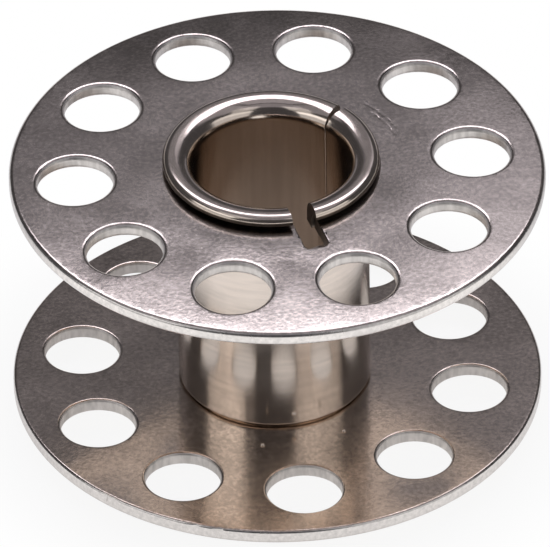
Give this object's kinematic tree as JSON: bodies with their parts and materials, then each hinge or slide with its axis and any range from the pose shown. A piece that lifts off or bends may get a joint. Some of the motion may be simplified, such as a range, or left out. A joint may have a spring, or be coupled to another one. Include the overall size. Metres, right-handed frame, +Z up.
{
  "type": "sewing machine bobbin",
  "caption": "Metal thread bobbin for a sewing machine: flat flanges with rings of round holes, held on a rolled hub tube by its curled lips, with a drive slot.",
  "frame": {"origin": "on the bobbin's axis, on the surface that its lower lip stands on", "axes": "+Z up along the bore, -Y to the picture's front, +X to the picture's right"},
  "size_m": [0.0205, 0.0204, 0.0115],
  "materials": {
    "flange_plate": "satin",
    "tube_plate": "gloss"
  },
  "bodies": {
    "root": {"hub_tube": "tube_plate", "lower_flange": "flange_plate", "upper_flange": "flange_plate"}
  },
  "joints": []
}
